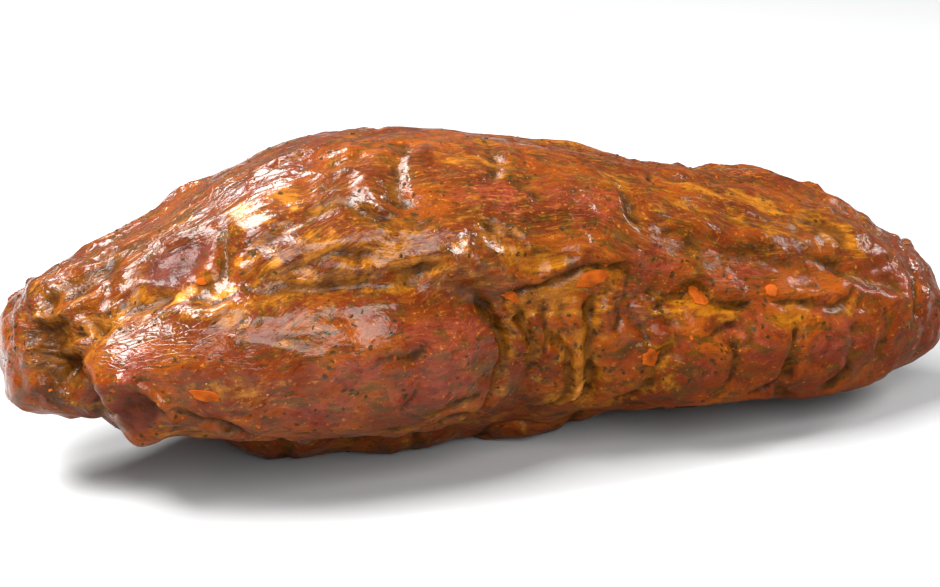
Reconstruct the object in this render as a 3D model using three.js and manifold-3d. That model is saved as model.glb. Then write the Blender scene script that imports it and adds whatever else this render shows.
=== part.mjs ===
// A boneless smoked ham: one piece of cured meat, in which several muscles lie side by side under one skin.
// Each muscle is a long rounded body round a curved middle line. All of them are joined into one solid,
// which is cut off flat where it lies on the table.
//
// Frame: millimetres, +Z up. X runs along the ham, from the tail on the left to the blunt end on the right.
// The show side faces -Y. The origin is on the table, under the middle of the ham's box.

import * as THREE from "three";
import { mergeVertices } from "three/addons/utils/BufferGeometryUtils.js";
import Module from "manifold-3d";

// The finished ham's overall sizes.
const LENGTH = 354;
const WIDTH = 127;
const HEIGHT = 115;

const FACET = 8; // the edge length of the facets that every muscle is made of
const BLUNTNESS = 2.4; // how full a muscle's ends are: 2 is an ellipsoid, more is blunter
const LEAST_AROUND = 16; // the fewest facets round a muscle
const LEAST_ALONG = 10; // the fewest facets along one
const TABLE_DEPTH = 60; // how far the block that cuts the ham flat reaches below the table
const TABLE_SIDE = 700; // how long and wide that block is
const MERGE_DISTANCE = 1e-4; // points closer than this are one point

// The muscles. A middle line is a list of [x, y, z] points. A girth is a list of [half width, half height]
// pairs, spread evenly along that line.
const MUSCLES = {
  // The large muscle at the back and in the middle, which all the others lie against.
  silverside: {
    middle: [[-168, 12, 50], [-100, 14, 54], [-30, 12, 54], [50, 12, 47], [120, 8, 40], [175, -2, 30]],
    girth: [[26, 24], [44, 38], [46, 50], [44, 44], [42, 36], [34, 26]],
  },
  // The upper muscle, whose back is the highest part of the ham.
  topside: {
    middle: [[-178, 6, 54], [-128, 4, 66], [-60, 0, 77], [0, 0, 75], [50, 0, 66], [115, -2, 54], [175, -4, 35]],
    girth: [[28, 22], [42, 29], [50, 38], [52, 35], [48, 30], [44, 25], [32, 22]],
    bluntness: 2.6,
  },
  // The long lobe at the front on the left.
  knuckle: {
    middle: [[-157, -13, 50], [-120, -27, 52], [-80, -33, 52], [-40, -32, 50], [4, -27, 46]],
    girth: [[23, 26], [26, 29], [27, 31], [28, 33], [24, 32]],
    bluntness: 2.9,
  },
  // The tail behind it, which reaches furthest to the left.
  tail: {
    middle: [[-178, 5, 47], [-140, 10, 50], [-80, 10, 54]],
    girth: [[29, 22], [38, 26], [44, 36]],
    bluntness: 3.2,
  },
  // The flat piece between the two front lobes.
  band: {
    middle: [[-40, -26, 56], [10, -34, 53], [56, -28, 48]],
    girth: [[14, 22], [20, 31], [16, 24]],
  },
  // The long lobe at the front on the right.
  rump: {
    middle: [[-16, -20, 44], [30, -28, 43], [80, -27, 37], [130, -19, 32], [176, -8, 26]],
    girth: [[22, 27], [28, 31], [30, 30], [30, 28], [26, 21]],
    bluntness: 2.6,
  },
  // The hump behind the ridge on the right.
  cap: {
    middle: [[50, 26, 50], [105, 25, 55], [164, 12, 43]],
    girth: [[24, 22], [28, 26], [24, 20]],
  },
  // The lobe low down at the back on the left.
  back_lobe: {
    middle: [[-160, 20, 44], [-100, 38, 42], [-40, 42, 44], [30, 36, 40]],
    girth: [[16, 20], [24, 28], [24, 32], [18, 24]],
  },
  // The lobe behind it on the right.
  back_flank: {
    middle: [[-20, 40, 40], [50, 40, 38], [110, 30, 34], [160, 16, 30]],
    girth: [[18, 24], [22, 28], [20, 24], [16, 18]],
  },
  // The lumps that the ham lies on.
  left_foot: {
    middle: [[-150, 8, 32], [-124, 6, 27], [-98, 6, 22]],
    girth: [[18, 13], [22, 15], [20, 15]],
  },
  middle_foot: {
    middle: [[-112, 8, 21], [-78, 5, 15], [-34, 3, 15], [0, 4, 16]],
    girth: [[18, 14], [28, 18], [28, 18], [24, 15]],
  },
  right_foot: {
    middle: [[-64, 10, 15], [0, 6, 14], [50, 10, 14], [110, 5, 15], [170, 2, 18]],
    girth: [[28, 16], [30, 19], [30, 18], [30, 18], [24, 15]],
  },
};

const wasm = await Module();
wasm.setup();

// A three.js geometry as a solid that can be joined and cut.
function solidOf(geometry) {
  const bare = geometry.clone();
  bare.deleteAttribute("normal");
  bare.deleteAttribute("uv");
  const merged = mergeVertices(bare, MERGE_DISTANCE);
  return new wasm.Manifold(
    new wasm.Mesh({
      numProp: 3,
      vertProperties: merged.attributes.position.array,
      triVerts: new Uint32Array(merged.index.array),
    }),
  );
}

// A solid as a three.js geometry.
function geometryOf(solid) {
  const mesh = solid.getMesh();
  const geometry = new THREE.BufferGeometry();
  geometry.setAttribute("position", new THREE.BufferAttribute(mesh.vertProperties, 3));
  geometry.setIndex(new THREE.BufferAttribute(mesh.triVerts, 1));
  return geometry;
}

// One muscle: a sphere whose poles are the ends of the middle line, drawn out along it and given its girth.
function muscle({ middle, girth, bluntness = BLUNTNESS }) {
  const line = new THREE.CatmullRomCurve3(middle.map((point) => new THREE.Vector3(...point)));
  const sizes = new THREE.CatmullRomCurve3(girth.map(([width, height]) => new THREE.Vector3(width, height, 0)));
  const widest = Math.max(...girth.flat());
  const around = Math.max(LEAST_AROUND, Math.round((2 * Math.PI * widest) / FACET));
  const along = Math.max(LEAST_ALONG, Math.round((line.getLength() + 2 * widest) / FACET));
  const body = new THREE.SphereGeometry(1, around, along);
  const points = body.attributes.position;
  const sphere = new THREE.Vector3();
  for (let i = 0; i < points.count; i++) {
    sphere.fromBufferAttribute(points, i);
    const share = THREE.MathUtils.clamp((1 - sphere.y) / 2, 0, 1);
    const atPole = Math.hypot(sphere.x, sphere.z) < MERGE_DISTANCE;
    const angle = atPole ? 0 : Math.atan2(sphere.z, sphere.x);
    const fullness = atPole ? 0 : (1 - Math.abs(sphere.y) ** bluntness) ** (1 / bluntness);
    const size = sizes.getPoint(share);
    const forward = line.getTangent(share);
    const side = new THREE.Vector3(0, 0, 1).cross(forward).normalize();
    const up = new THREE.Vector3().crossVectors(forward, side);
    const place = line
      .getPoint(share)
      .addScaledVector(side, Math.cos(angle) * size.x * fullness)
      .addScaledVector(up, Math.sin(angle) * size.y * fullness);
    points.setXYZ(i, place.x, place.y, place.z);
  }
  return solidOf(body);
}

// The block that takes away everything below the table.
function belowTable() {
  const block = new THREE.BoxGeometry(TABLE_SIDE, TABLE_SIDE, TABLE_DEPTH);
  block.translate(0, 0, -TABLE_DEPTH / 2);
  return solidOf(block);
}

// The muscles joined, cut flat, brought to the overall sizes and set over the origin.
function hamGeometry() {
  const joined = Object.values(MUSCLES).map(muscle).reduce((all, next) => all.add(next));
  const geometry = geometryOf(joined.subtract(belowTable()));
  geometry.computeBoundingBox();
  const drawn = geometry.boundingBox.getSize(new THREE.Vector3());
  const centre = geometry.boundingBox.getCenter(new THREE.Vector3());
  geometry.translate(-centre.x, -centre.y, 0);
  geometry.scale(LENGTH / drawn.x, WIDTH / drawn.y, HEIGHT / drawn.z);
  geometry.computeVertexNormals();
  return geometry;
}

const smokedMeat = new THREE.MeshStandardMaterial({ color: 0x8a3f1c, roughness: 0.3, metalness: 0 });

const ham = new THREE.Mesh(hamGeometry(), smokedMeat);
ham.name = "ham";

const group = new THREE.Group();
group.add(ham);
export default group;
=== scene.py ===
"""A boneless smoked ham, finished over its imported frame.

The frame's solid gives the ham its size and its muscles. Here a fine copy of it gets its skin: seams, folds,
lumps and wrinkles are carved into it, herbs and flakes of spice are strewn over it, and it gets the look of
moist smoked meat under marinade.

A place on the skin is (along, clock). Along is in millimetres from the ham's middle, and grows towards its
blunt end. Clock is in degrees round the ham's long axis: 0 is the top, 90 the show side, 180 the underside
and 270 the back.
"""

import math
import random

import bmesh
import bpy
import numpy as np
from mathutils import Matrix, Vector, noise
from mathutils.bvhtree import BVHTree


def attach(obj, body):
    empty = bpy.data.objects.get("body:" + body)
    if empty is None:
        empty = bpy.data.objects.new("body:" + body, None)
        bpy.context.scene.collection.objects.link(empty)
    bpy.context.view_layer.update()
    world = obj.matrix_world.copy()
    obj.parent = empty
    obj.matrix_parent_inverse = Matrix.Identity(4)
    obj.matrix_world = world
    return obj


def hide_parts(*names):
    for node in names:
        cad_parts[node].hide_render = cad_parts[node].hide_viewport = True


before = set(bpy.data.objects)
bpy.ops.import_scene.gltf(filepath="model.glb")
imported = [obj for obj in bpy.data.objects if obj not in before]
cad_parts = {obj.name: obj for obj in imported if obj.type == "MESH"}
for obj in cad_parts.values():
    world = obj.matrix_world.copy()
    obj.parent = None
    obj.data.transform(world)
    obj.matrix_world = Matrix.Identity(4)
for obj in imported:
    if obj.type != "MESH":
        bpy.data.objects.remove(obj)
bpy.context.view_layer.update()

MM = 0.001  # one millimetre, in metres
SQUARE = 1.3 * MM  # the side of the squares that the skin's mesh is made of
AXIS_HEIGHT = 52  # how high the axis that clock angles turn round lies over the table, in millimetres


# --- The skin, while it is carved -----------------------------------------------------------------------


def softened(values, edges, rounds):
    """Values at the mesh's points, each brought halfway to its neighbours' average, a number of times."""
    first, second = edges.T
    size = len(values)
    neighbours = np.bincount(edges.ravel(), minlength=size)[:, None]
    for _ in range(rounds):
        total = np.stack(
            [
                np.bincount(first, column[second], size) + np.bincount(second, column[first], size)
                for column in values.T
            ],
            axis=1,
        )
        values = (values + total / neighbours) / 2
    return values


def uneven(points, bump, octaves=2, start=0):
    """Smooth noise of about -1 to 1 at each point. bump is how long one bump is along x, y and z."""
    places = (points / np.array(bump) + start).tolist()
    return np.fromiter((noise.fractal(place, 1, 2, octaves) for place in places), float, len(places))


def rising(values, low, high):
    """A smooth step from 0, where values are at low, to 1, where they are at high."""
    share = np.clip((values - low) / (high - low), 0, 1)
    return share * share * (3 - 2 * share)


class Skin:
    """The ham's surface in millimetres. Carving adds to push, which settle() moves the points by.
    marks hold, for each point, how much there is of what the material shows there, from 0 to 1. The
    hollow and fibrous marks also set where shade is painted into the colour."""

    MARKS = ("hollow", "fat", "gold", "lean", "membrane", "fibrous", "wet", "herbs", "bare")

    def __init__(self, mesh):
        self.mesh = mesh
        count = len(mesh.vertices)
        self.points = np.empty(count * 3)
        mesh.vertices.foreach_get("co", self.points)
        self.points = self.points.reshape(-1, 3) / MM
        self.edges = np.empty(len(mesh.edges) * 2, dtype=np.int64)
        mesh.edges.foreach_get("vertices", self.edges)
        self.edges = self.edges.reshape(-1, 2)
        self.marks = {name: np.zeros(count) for name in self.MARKS}
        self.push = np.zeros_like(self.points)
        self.settle()
        self.tree = self.search_tree()
        # Lines on the skin waver by about 2 mm, and are cut deeper in some places than in others.
        self.waver = 2.2 * uneven(self.points, (11, 11, 11), 3, start=300)
        self.force = np.clip(1 + 0.9 * uneven(self.points, (15, 15, 15), 2, start=340), 0.4, 1.6)

    def search_tree(self):
        faces = [list(face.vertices) for face in self.mesh.polygons]
        return BVHTree.FromPolygons(self.points.tolist(), faces)

    def settle(self):
        """Moves the points by what was carved. None of them goes below the table."""
        self.points += self.push
        self.points[:, 2] = np.maximum(self.points[:, 2], 0)
        self.push[:] = 0
        self.mesh.vertices.foreach_set("co", (self.points * MM).ravel())
        self.mesh.update()
        normals = np.empty(len(self.points) * 3)
        self.mesh.vertex_normals.foreach_get("vector", normals)
        self.normals = normals.reshape(-1, 3)

    def smooth(self, rounds):
        self.points = softened(self.points, self.edges, rounds)
        self.settle()

    def spot(self, along, clock):
        """The point on the skin at a place, and the skin's normal there."""
        turn = math.radians(clock)
        outward = Vector((0, -math.sin(turn), math.cos(turn)))
        far_out = Vector((along, 0, AXIS_HEIGHT)) + outward * 200
        point, normal, _, _ = self.tree.ray_cast(far_out, -outward)
        if point is None:  # past the tip of an end
            point, normal, _, _ = self.tree.find_nearest(Vector((along, 0, AXIS_HEIGHT)) + outward * 10)
        return point, normal

    def line(self, places):
        """Points about a millimetre apart on a smooth line through places on the skin, and their normals."""
        knots = np.array([self.spot(*place)[0] for place in places])
        knots = np.vstack([2 * knots[0] - knots[1], knots, 2 * knots[-1] - knots[-2]])
        points = []
        for before, start, end, after in zip(knots, knots[1:], knots[2:], knots[3:]):
            steps = max(2, round(float(np.linalg.norm(end - start))))
            for share in np.arange(steps) / steps:
                curve = (
                    2 * start
                    + (end - before) * share
                    + (2 * before - 5 * start + 4 * end - after) * share**2
                    + (3 * start - before - 3 * end + after) * share**3
                )
                points.append(curve / 2)
        points.append(knots[-2])
        found = [self.tree.find_nearest(point)[:2] for point in points]
        return np.array([point for point, _ in found]), np.array([normal for _, normal in found])

    def beside(self, places, reach, fade=0.2):
        """The skin points near a line: their indices, how far each lies to the line's left when seen from
        outside, and a strength that fades towards the line's ends, over that share of its length."""
        line, line_normals = self.line(places)
        ahead = np.gradient(line, axis=0)
        ahead /= np.linalg.norm(ahead, axis=1)[:, None]
        left = np.cross(line_normals, ahead)
        inside = np.all((self.points > line.min(0) - reach) & (self.points < line.max(0) + reach), axis=1)
        near = np.flatnonzero(inside & (self.normals @ line_normals.mean(0) > -0.6))
        points = self.points[near]
        gaps = (line**2).sum(1) - 2 * points @ line.T  # squared distances, less the points' own squares
        closest = gaps.argmin(1)
        offset = points - line[closest]
        across = (offset * left[closest]).sum(1) + self.waver[near]
        beyond = (offset * ahead[closest]).sum(1)
        facing = (self.normals[near] * line_normals[closest]).sum(1)
        share = closest / (len(line) - 1)
        strength = rising(np.minimum(share, 1 - share), -0.02, fade) * np.exp(-((beyond / 3) ** 2))
        strength *= rising(facing, -0.2, 0.3) * (np.abs(across) < reach)
        return near, across, strength * self.force[near]

    def mark(self, name, which, amount):
        """Brings a mark up to an amount where it is less."""
        self.marks[name][which] = np.maximum(self.marks[name][which], np.clip(amount, 0, 1))

    def groove(self, places, depth, width, lips=0.25, hollow=0.8, **painted):
        """Carves a groove along a line, with its sides raised a little."""
        which, across, strength = self.beside(places, 5 * width)
        bottom = np.exp(-((across / width) ** 2)) * strength
        sides = np.exp(-(((np.abs(across) - 2.2 * width) / width) ** 2)) * strength
        self.push[which] += self.normals[which] * (depth * (lips * sides - bottom))[:, None]
        # The groove's bottom is marked hollow: herbs gather there, and shade is painted there.
        self.mark("hollow", which, hollow * bottom)
        for name, amount in painted.items():
            self.mark(name, which, amount * np.exp(-((across / (2 * width)) ** 2)) * strength)

    def ridge(self, places, height, width, **painted):
        """Raises a rounded ridge along a line."""
        which, across, strength = self.beside(places, 4 * width)
        top = np.exp(-((across / width) ** 2)) * strength
        self.push[which] += self.normals[which] * (height * top)[:, None]
        for name, amount in painted.items():
            self.mark(name, which, amount * top)

    def flap(self, places, height, depth, width, **painted):
        """Raises the skin to the left of a line. Its edge hangs a millimetre over a groove along the line."""
        which, across, strength = self.beside(places, 9 * width)
        raised = strength / (1 + np.exp(-np.clip(across / 0.7, -30, 30)))
        lift = height * np.exp(-((across / (5 * width)) ** 2)) * raised
        groove = np.exp(-(((across + 0.8 * width) / width) ** 2)) * (strength - raised)
        edge = np.exp(-((across / (1.5 * width)) ** 2)) * raised
        self.push[which] += self.normals[which] * (lift - depth * groove)[:, None]
        line, line_normals = self.line(places)
        ahead = (line[-1] - line[0]) / np.linalg.norm(line[-1] - line[0])
        self.push[which] -= np.cross(line_normals.mean(0), ahead) * edge[:, None]
        # The groove under the edge is marked hollow: herbs gather there, and shade is painted there.
        self.mark("hollow", which, 1.1 * groove)
        for name, amount in painted.items():
            below = np.exp(-(((across + 3 * width) / (3 * width)) ** 2)) * (strength - raised)
            self.mark(name, which, amount * below)

    def patch(self, place, length, girth, turn=0, sharpness=2):
        """The points round a place on the skin, and how far into an oval patch each one is, up to 1.
        length and girth are half of its sizes along and round the ham, before it is turned."""
        centre, normal = (np.array(found) for found in self.spot(*place))
        round_it = np.cross(normal, (1, 0, 0))
        round_it /= np.linalg.norm(round_it)
        ahead = np.cross(round_it, normal)
        angle = math.radians(turn)
        long_way = math.cos(angle) * ahead + math.sin(angle) * round_it
        short_way = math.cos(angle) * round_it - math.sin(angle) * ahead
        offset = self.points - centre
        within = (offset**2).sum(1) < (3 * max(length, girth)) ** 2
        near = np.flatnonzero(within & (self.normals @ normal > 0))
        distance = np.hypot(offset[near] @ long_way / length, offset[near] @ short_way / girth)
        return near, np.exp(-(distance**sharpness)) * rising(self.normals[near] @ normal, 0, 0.4)

    def lump(self, place, height, length, girth, turn=0, sharpness=2, **painted):
        """Raises an oval lump, or sinks a hollow where height is negative."""
        which, amount = self.patch(place, length, girth, turn, sharpness)
        self.push[which] += self.normals[which] * (height * amount)[:, None]
        for name, strength in painted.items():
            self.mark(name, which, strength * amount)

    def fill(self, place, length, girth, rounds):
        """Fills hollows in an oval patch up to the softened shape, and leaves what stands out of it."""
        which, amount = self.patch(place, length, girth, sharpness=4)
        soft = softened(self.points, self.edges, rounds)
        sunk = ((soft - self.points)[which] * self.normals[which]).sum(1)
        self.push[which] += (soft - self.points)[which] * (amount * rising(sunk, 0, 0.5))[:, None]
        self.settle()

    def flatten(self, place, length, girth, strength, turn=0):
        """Presses an oval patch of skin towards the plane that lies on it."""
        which, amount = self.patch(place, length, girth, turn, sharpness=4)
        normal = (self.normals[which] * amount[:, None]).sum(0)
        normal /= np.linalg.norm(normal)
        height = self.points[which] @ normal
        height -= np.average(height, weights=amount)
        self.push[which] -= normal * (strength * amount * height)[:, None]
        self.settle()

    def soothe(self, place, length, girth, turn, rounds):
        """Smooths an oval patch, as where skin is drawn tight."""
        which, amount = self.patch(place, length, girth, turn, sharpness=3)
        soft = softened(self.points, self.edges, rounds)
        self.push[which] += (soft - self.points)[which] * amount[:, None]
        self.mark("membrane", which, amount)

    def paint(self, name, place, length, girth, turn=0, strength=1):
        """Marks an oval patch."""
        which, amount = self.patch(place, length, girth, turn, sharpness=3)
        self.mark(name, which, strength * amount)


def even_copy(node):
    """A copy of a CAD node's mesh with its points joined, made of small even squares."""
    mesh = node.data.copy()
    work = bmesh.new()
    work.from_mesh(mesh)
    bmesh.ops.remove_doubles(work, verts=work.verts, dist=0.001 * MM)
    work.to_mesh(mesh)
    work.free()
    blank = bpy.data.objects.new("blank", mesh)
    bpy.context.scene.collection.objects.link(blank)
    squares = blank.modifiers.new("squares", "REMESH")
    squares.mode = "VOXEL"
    squares.voxel_size = SQUARE
    even = bpy.data.meshes.new_from_object(blank.evaluated_get(bpy.context.evaluated_depsgraph_get()))
    bpy.data.objects.remove(blank)
    bpy.data.meshes.remove(mesh)
    return even


# --- Carving --------------------------------------------------------------------------------------------


def carve_seams(skin):
    """The deep seams where one muscle ends against the next."""
    skin.groove([(-156, 76), (-148, 60), (-133, 54), (-118, 56), (-104, 58)], 3.8, 3.4, hollow=0.3, gold=0.9)
    skin.groove([(-108, 58), (-85, 60), (-60, 62), (-38, 63)], 1.8, 2.6, gold=0.7)
    skin.groove([(-158, 76), (-158, 92), (-153, 107), (-147, 118)], 7.5, 4.0, lips=0.4, hollow=1)
    skin.groove([(-30, 66), (-20, 76), (-15, 88), (-16, 100), (-22, 114), (-32, 126)], 2.6, 2.6, gold=0.5)
    skin.groove([(16, 70), (16, 82), (14, 92), (17, 101), (16, 114), (10, 128)], 3.6, 3.0, gold=0.9, fat=0.5)
    skin.groove([(55, 18), (70, 16), (84, 8), (100, -4), (120, -10)], 2.0, 4.0, hollow=0.2)


def carve_flap(skin):
    """The lower edge of the upper muscle, which hangs over the two front lobes like a lip."""
    skin.flap([(-20, 70), (-11, 68), (3, 67), (12, 64), (22, 64), (30, 66), (34, 71)], 2.6, 2.6, 1.7, gold=1)
    skin.flap([(40, 76), (50, 76), (59, 77), (63, 81), (70, 84), (78, 82)], 2.4, 2.2, 1.7, gold=0.9)
    skin.flap([(80, 83), (92, 86), (104, 90), (114, 90), (122, 87)], 1.8, 1.6, 1.6, gold=0.5)


def carve_gathered_folds(skin):
    """The peak where the upper muscle is gathered, and the folds that run down from it over the band."""
    skin.lump((-28, 57), 5.5, 10, 8, turn=-35, gold=0.5)
    skin.ridge([(-26, 49), (-31, 54), (-35, 58), (-36, 65)], 3.0, 1.5, gold=0.4, membrane=0.6)
    skin.ridge([(-24, 57), (-28, 61), (-29, 66)], 2.0, 1.4, gold=0.4)
    skin.groove([(-60, 58), (-48, 60), (-38, 60)], 1.2, 2.0, gold=0.8)
    skin.groove([(-26, 46), (-18, 52), (-14, 60), (-10, 66)], 1.4, 2.0, gold=0.7)
    skin.groove([(-17, 50), (-8, 56), (0, 63)], 0.9, 1.8, gold=0.8)
    skin.ridge([(-25, 66), (-17, 74), (-12, 84), (-13, 96), (-18, 108)], 1.5, 1.8, gold=0.3)
    skin.groove([(-15, 70), (-10, 79), (-6, 92), (-5, 104), (-10, 118)], 1.7, 1.6, gold=0.7)
    skin.ridge([(-9, 74), (-4, 84), (0, 96), (0, 110)], 1.0, 2.0)
    skin.groove([(-5, 81), (1, 89), (7, 100), (8, 114), (2, 130)], 1.6, 1.5, gold=0.6)
    skin.ridge([(9, 72), (10, 84), (9, 94), (11, 106), (11, 118)], 1.6, 2.2, gold=0.9, fat=0.4)
    skin.groove([(2, 72), (5, 82), (6, 90)], 0.8, 1.4)
    skin.ridge([(21, 78), (21, 88), (22, 98)], 1.0, 1.8)
    for along, top, bottom in ((-19, 78, 104), (-2, 76, 96), (5, 92, 116), (13, 74, 104), (25, 76, 90)):
        skin.groove([(along, top), (along + 1, (top + bottom) / 2), (along - 2, bottom)], 0.9, 1.1, gold=0.3)


def carve_upper_muscle(skin):
    """Dents, knots and creases on the back of the ham."""
    skin.groove([(-38, 8), (-41, 18), (-46, 27), (-48, 36), (-45, 44)], 2.4, 3.2, hollow=0.6)
    skin.ridge([(-37, 16), (-41, 22), (-44, 30), (-44, 38)], 1.6, 2.0)
    skin.lump((-57, 33), 2.6, 4, 9, turn=10)
    skin.groove([(-7, 6), (-8, 17), (-12, 28), (-13, 36)], 2.2, 3.0, gold=0.4)
    skin.groove([(-9, 30), (-4, 36), (2, 42)], 0.9, 2.0)
    skin.lump((31, 41), 2.2, 4, 8, turn=-20)
    skin.groove([(34, 30), (37, 42), (38, 54)], 1.6, 3.0, gold=0.5)
    skin.lump((-25, 34), 1.6, 16, 9)
    skin.lump((8, 40), 1.4, 20, 12, lean=0.5)
    skin.groove([(40, 55), (60, 62), (78, 68), (96, 74)], 1.4, 4.0, hollow=0.4)
    skin.groove([(45, 35), (70, 44), (92, 54), (112, 62)], 1.2, 3.5, hollow=0.4, gold=0.5)
    skin.ridge([(42, 46), (62, 53), (84, 60), (104, 68)], 1.0, 4.0)
    skin.lump((70, 70), 1.6, 18, 7, turn=-12, lean=0.5)
    skin.groove([(-70, 20), (-50, 12), (-30, 10)], 0.9, 2.4, hollow=0.4)
    skin.ridge([(-95, 8), (-75, 4), (-60, 6)], 1.0, 2.2)
    skin.groove([(-10, 50), (10, 52), (30, 56)], 0.7, 2.4, hollow=0.3)
    for along, clock, height, length in (
        (-128, 350, -4, 22),
        (-67, 348, 1.4, 14),
        (14, 350, -3, 30),
        (60, 350, -2, 14),
        (112, 306, -1.5, 10),
        (138, 306, -3.6, 16),
    ):
        skin.lump((along, clock), height, length, 17)


def carve_upper_left(skin):
    """The shoulder over the tail: a bare lean hollow under a glossy ridge, and a heap of fatty lumps."""
    skin.ridge([(-142, 42), (-132, 30), (-120, 25), (-108, 25), (-98, 20)], 1.8, 3.0, membrane=0.6)
    skin.lump((-122, 38), -2.6, 15, 9, turn=12, bare=1)
    skin.groove([(-106, 28), (-105, 38), (-108, 47), (-112, 54)], 1.8, 2.4)
    skin.lump((-95, 38), 2.6, 10, 8, turn=20, gold=0.4)
    skin.lump((-98, 27), 0.7, 6, 6, gold=1, fat=0.4)
    skin.lump((-84, 46), 2.2, 10, 7, gold=0.4)
    skin.lump((-96, 50), 2.0, 8, 5, turn=10, gold=0.6)
    skin.groove([(-100, 45), (-90, 40), (-80, 36), (-70, 38)], 1.0, 2.0, gold=0.5)
    skin.groove([(-90, 54), (-78, 52), (-66, 52), (-54, 54)], 1.4, 2.2, gold=0.6)
    skin.lump((-66, 46), 1.8, 14, 7, turn=-8)
    skin.lump((-70, 56), 1.6, 12, 4)
    skin.groove([(-78, 40), (-68, 36), (-58, 42), (-48, 46)], 1.0, 2.0, gold=0.4)
    skin.ridge([(-112, 56), (-106, 58), (-101, 62)], 1.8, 1.6, membrane=1)
    skin.ridge([(-101, 57), (-92, 59), (-84, 58), (-74, 59)], 1.4, 2.4, membrane=0.5)


def carve_tail(skin):
    """The tail end: knobs along its top, and tight raised folds of skin over its side."""
    skin.ridge([(-170, 24), (-165, 36), (-158, 41), (-150, 40), (-143, 34)], 3.4, 1.4, gold=0.9, membrane=0.5)
    skin.ridge([(-173, 64), (-166, 70), (-158, 71), (-152, 70)], 3.0, 1.4, gold=0.9, membrane=0.4)
    skin.ridge([(-158, 42), (-155, 52), (-152, 62), (-152, 70)], 1.4, 1.6, gold=0.5)
    skin.ridge([(-150, 42), (-147, 50), (-146, 58)], 1.3, 1.6, gold=0.5)
    skin.ridge([(-171, 40), (-172, 55), (-173, 70), (-171, 90)], 1.3, 1.8)
    skin.lump((-165, 53), -3.6, 7, 8, hollow=0.8)
    skin.lump((-163, 88), -6.0, 7, 12, sharpness=3, hollow=1)
    skin.lump((-172, 172), 4.0, 8, 14)
    # Painted shadow: the tail's side under the knuckle's tip is marked hollow, so it is painted dark brown
    # and gathers herbs.
    skin.paint("hollow", (-165, 80), 9, 18, strength=0.9)
    skin.groove([(-172, 100), (-163, 106), (-153, 108)], 1.2, 2.0)
    for along, clock, size in ((-167, 8, 4.5), (-160, 2, 4), (-163, -16, 5), (-152, -6, 5), (-148, 12, 4)):
        skin.lump((along, clock), 2.0, size, size + 1)
    skin.groove([(-166, 20), (-156, 18), (-146, 22), (-136, 20)], 1.2, 1.8)
    skin.groove([(-160, 30), (-148, 28), (-136, 24)], 1.0, 1.6)
    skin.groove([(-150, 4), (-136, 8), (-122, 10), (-108, 8)], 1.0, 2.0)


def carve_knuckle(skin):
    """The long lobe at the front on the left, with its blunt tip and a smooth cut facet."""
    skin.lump((-147, 84), 3.4, 8, 13, sharpness=4)
    skin.ridge([(-153, 92), (-145, 89), (-138, 92), (-133, 99), (-129, 110)], 2.2, 1.5)
    skin.lump((-141, 104), -2.0, 9, 10, turn=-20, bare=1)
    skin.lump((-138, 119), 6.0, 8, 9)
    skin.groove([(-131, 101), (-124, 104), (-116, 107), (-107, 110), (-96, 118), (-86, 128)], 2.2, 2.0)
    skin.lump((-120, 116), -2.5, 9, 8, gold=0.5)
    skin.lump((-90, 104), 1.4, 18, 9)
    skin.lump((-60, 78), 1.2, 24, 9, lean=0.4)
    skin.lump((-35, 92), 1.2, 14, 14, lean=0.6)
    skin.groove([(-62, 116), (-48, 118), (-34, 114), (-22, 118)], 1.2, 2.2, gold=0.5)
    skin.groove([(-48, 112), (-36, 106), (-24, 108)], 0.6, 1.6, gold=0.5)
    skin.ridge([(-58, 124), (-44, 128), (-32, 124)], 1.2, 2.0)
    skin.groove([(-100, 74), (-88, 78), (-76, 77)], 0.7, 1.6, gold=0.5)
    skin.groove([(-66, 84), (-54, 86), (-44, 84)], 0.7, 1.6, gold=0.4)
    skin.ridge([(-128, 66), (-112, 64), (-98, 66)], 1.0, 2.8, gold=0.6)


def carve_right_lobe(skin):
    """The front lobe on the right, crossed by oblique creases, and the oval knob at the blunt end."""
    skin.groove([(92, 94), (92, 102), (89, 110), (82, 115), (74, 120)], 3.4, 2.2, hollow=1)
    skin.ridge([(92, 113), (101, 113), (112, 114), (122, 115)], 1.1, 1.8)
    skin.groove([(86, 114), (90, 122), (98, 132)], 1.8, 2.0, hollow=1)
    skin.groove([(116, 96), (118, 106), (114, 118), (106, 128)], 1.4, 2.4)
    skin.groove([(134, 96), (134, 108), (130, 118)], 1.0, 2.0)
    skin.groove([(66, 92), (68, 102), (66, 112), (60, 122)], 1.2, 1.8)
    skin.groove([(64, 91), (70, 94), (76, 95)], 0.7, 1.0)
    skin.groove([(48, 90), (42, 98), (38, 107), (32, 118), (22, 128)], 2.0, 2.4, gold=0.6)
    skin.lump((53, 104), 1.8, 11, 12, lean=0.7)
    skin.lump((79, 100), 1.8, 9, 12, lean=0.6)
    skin.lump((104, 102), 1.8, 10, 12, lean=0.6)
    skin.lump((38, 82), 1.2, 8, 5, gold=0.7)
    skin.groove([(30, 78), (36, 84), (34, 92)], 0.9, 1.4)
    skin.lump((136, 74), 3.0, 20, 12, turn=-20)
    skin.groove([(102, 46), (114, 52), (124, 62), (120, 74), (112, 80)], 1.8, 3.0, gold=0.6)
    skin.groove([(118, 82), (132, 90), (146, 96)], 1.4, 2.4, gold=0.4)
    skin.groove([(102, 66), (112, 76), (122, 84)], 1.2, 2.0)


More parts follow.
